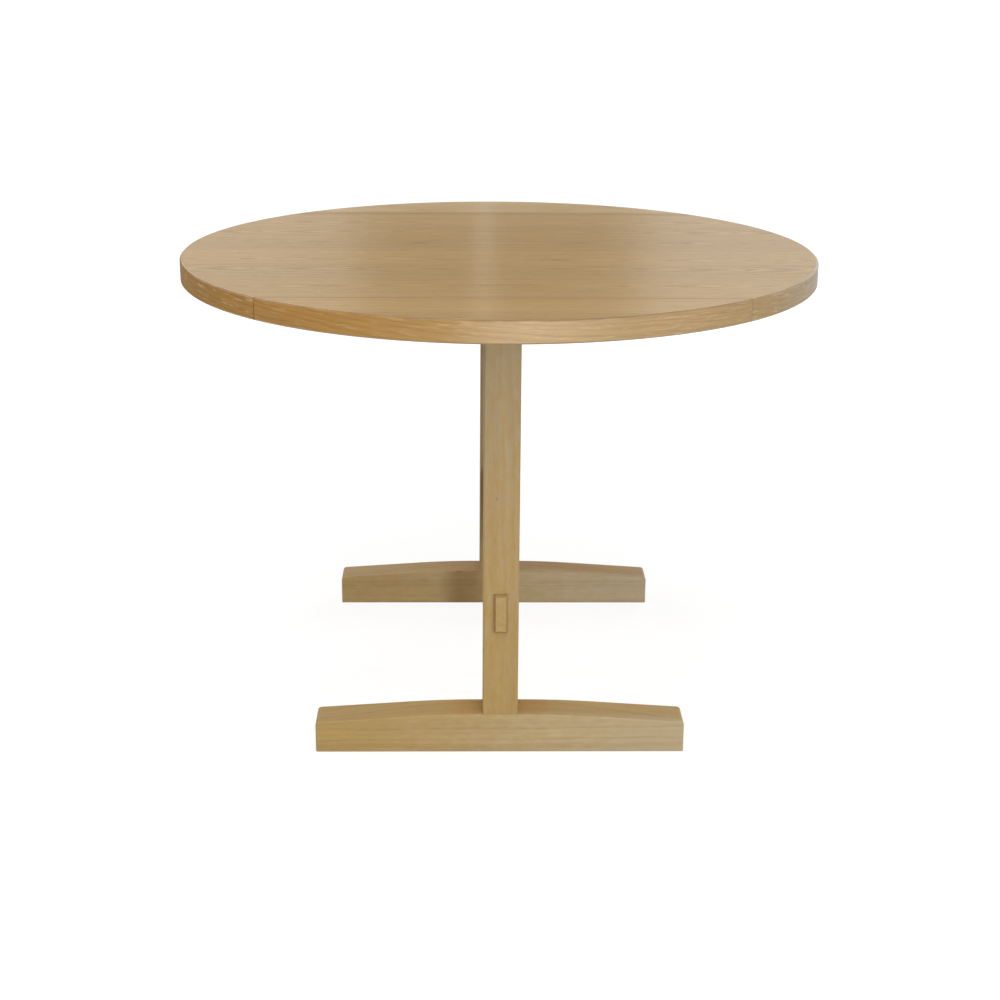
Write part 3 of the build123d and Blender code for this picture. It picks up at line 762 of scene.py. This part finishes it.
# Studio lamps
TABLE_MIDDLE = Vector((0.0, 0.0, 0.4))


def lamp(name, place, width, height, watts):
    """Soft box of the studio, turned to the table. Glossy surfaces show the sheen walls instead."""
    light = bpy.data.lights.new(name, "AREA")
    light.shape = "RECTANGLE"
    light.size = width
    light.size_y = height
    light.energy = watts
    box = bpy.data.objects.new(name, light)
    box.location = place
    box.rotation_euler = (TABLE_MIDDLE - Vector(place)).to_track_quat("-Z", "Y").to_euler()
    box.visible_camera = False
    box.visible_glossy = False
    bpy.context.scene.collection.objects.link(box)


lamp("key_front", (0.50, -5.8, 1.2), 0.3, 0.3, 92.0)
lamp("soft_box_front", (0.9, -2.5, 1.3), 2.0, 1.2, 17.0)
lamp("overhead_front", (0.2, -2.0, 3.3), 2.6, 2.6, 47.0)
lamp("side_left", (-2.7, 0.3, 1.9), 1.6, 1.6, 31.0)
lamp("side_right", (2.7, 0.3, 1.9), 1.6, 1.6, 10.0)
lamp("fill_rear_left", (-2.2, 3.4, 1.5), 1.6, 1.2, 30.0)
lamp("fill_rear_right", (2.0, 3.6, 1.5), 1.6, 1.2, 52.0)


def sheen_wall(name, route, low, high, material):
    """Upright wall over a route on the floor, which shows only in the sheen of the table's lacquer."""
    for number, (start, end) in enumerate(zip(route, route[1:])):
        corners = [(*start, low), (*end, low), (*end, high), (*start, high)]
        sheet = stage_sheet(f"{name}_{number}", corners, material)
        sheet.visible_camera = False
        sheet.visible_diffuse = False
        sheet.visible_transmission = False
        sheet.visible_shadow = False


# Dark brown cloth on the left, which keeps the rim's left side deep in colour
CLOTH_ROUTE = [(-0.95, -2.5), (-1.5, -2.2), (-1.5, 2.2), (-0.9, 2.2)]
CLOTH_TOP = 1.4
CLOTH_TINT = (1.0, 0.75, 0.45, 1.0)
CLOTH_LEVEL = 0.24
cloth_material, graph = new_material("dark_cloth")
graph.output(graph.emission(CLOTH_TINT, CLOTH_LEVEL))
sheen_wall("dark_cloth", CLOTH_ROUTE, 0.0, CLOTH_TOP, cloth_material)

# Screen that gives the rim its pale sheen: dim on the left, bright in front and dimmer on the right.
# Between each pair of places it goes through the pair of levels, or of shares, that follows.
SCREEN_ROUTE = [(-0.95, -2.5), (1.2, -2.5), (2.2, -1.2), (2.2, 1.0), (1.2, 2.8)]
SCREEN_TOP = 0.8
LEFT_PLACES = (-0.72, -0.02)
LEFT_LEVELS = (0.2, 3.8)
RIGHT_PLACES = (0.5, 1.7)
RIGHT_SHARES = (1.0, 0.36)
SIDE_PLACES = (-1.3, -0.2)
SIDE_SHARES = (1.0, 0.42)
screen_material, graph = new_material("bright_screen")
x, y, _ = graph.place()
from_left = graph.fade(x, *LEFT_PLACES, *LEFT_LEVELS)
to_right = graph.fade(x, *RIGHT_PLACES, *RIGHT_SHARES)
along_side = graph.fade(y, *SIDE_PLACES, *SIDE_SHARES)
screen_level = graph.scale(from_left, graph.scale(to_right, along_side))
graph.output(graph.emission(WHITE, screen_level))
sheen_wall("bright_screen", SCREEN_ROUTE, 0.0, SCREEN_TOP, screen_material)

# Backdrop behind the table: dim in the middle, with one paler stripe, and bright at both sides
BACKDROP_ROUTE = [(-1.4, 3.0), (1.0, 3.0)]
BACKDROP_FOOT = 1.13
BACKDROP_TOP = 3.2
LEFT_SIDE_PLACES = (-1.2, -0.55)
LEFT_SIDE_LEVELS = (1.0, 0.76)
LEFT_SIDE_ENDS = (-0.53, -0.30)
STRIPE_BEGINS = (-0.05, 0.0)
STRIPE_ENDS = (0.06, 0.01)
STRIPE_LEVEL = 0.8
RIGHT_SIDE_BEGINS = (0.40, 0.66)
backdrop_material, graph = new_material("graded_backdrop")
x, _, _ = graph.place()
left_side = graph.fade(x, *LEFT_SIDE_PLACES, *LEFT_SIDE_LEVELS)
left_side = graph.scale(left_side, graph.fade(x, *LEFT_SIDE_ENDS, 1.0, 0.0))
stripe = graph.scale(graph.fade(x, *STRIPE_BEGINS), graph.fade(x, *STRIPE_ENDS))
right_side = graph.fade(x, *RIGHT_SIDE_BEGINS)
backdrop_level = graph.add(graph.weave(stripe, STRIPE_LEVEL, left_side), right_side)
graph.output(graph.emission(WHITE, backdrop_level))
sheen_wall("graded_backdrop", BACKDROP_ROUTE, BACKDROP_FOOT, BACKDROP_TOP, backdrop_material)

# Camera at the photograph's viewing angle
CAMERA_PLACE = Vector((-0.05709, -2.99839, 1.29932))
CAMERA_YAW = 0.0205
CAMERA_PITCH = 0.3191
CAMERA_ROLL = 0.0078
CAMERA_LENS = 65.33
forward = Vector(
    (
        math.sin(CAMERA_YAW) * math.cos(CAMERA_PITCH),
        math.cos(CAMERA_YAW) * math.cos(CAMERA_PITCH),
        -math.sin(CAMERA_PITCH),
    )
)
sideways = Vector((math.cos(CAMERA_YAW), -math.sin(CAMERA_YAW), 0.0))
upright = sideways.cross(forward)
right = math.cos(CAMERA_ROLL) * sideways + math.sin(CAMERA_ROLL) * upright
up = math.cos(CAMERA_ROLL) * upright - math.sin(CAMERA_ROLL) * sideways
camera_data = bpy.data.cameras.new("camera")
camera_data.lens = CAMERA_LENS
camera = bpy.data.objects.new("camera", camera_data)
camera.matrix_world = Matrix.Translation(CAMERA_PLACE) @ Matrix((right, up, -forward)).transposed().to_4x4()
bpy.context.scene.collection.objects.link(camera)
bpy.context.scene.camera = camera
bpy.context.scene.view_settings.view_transform = "Standard"
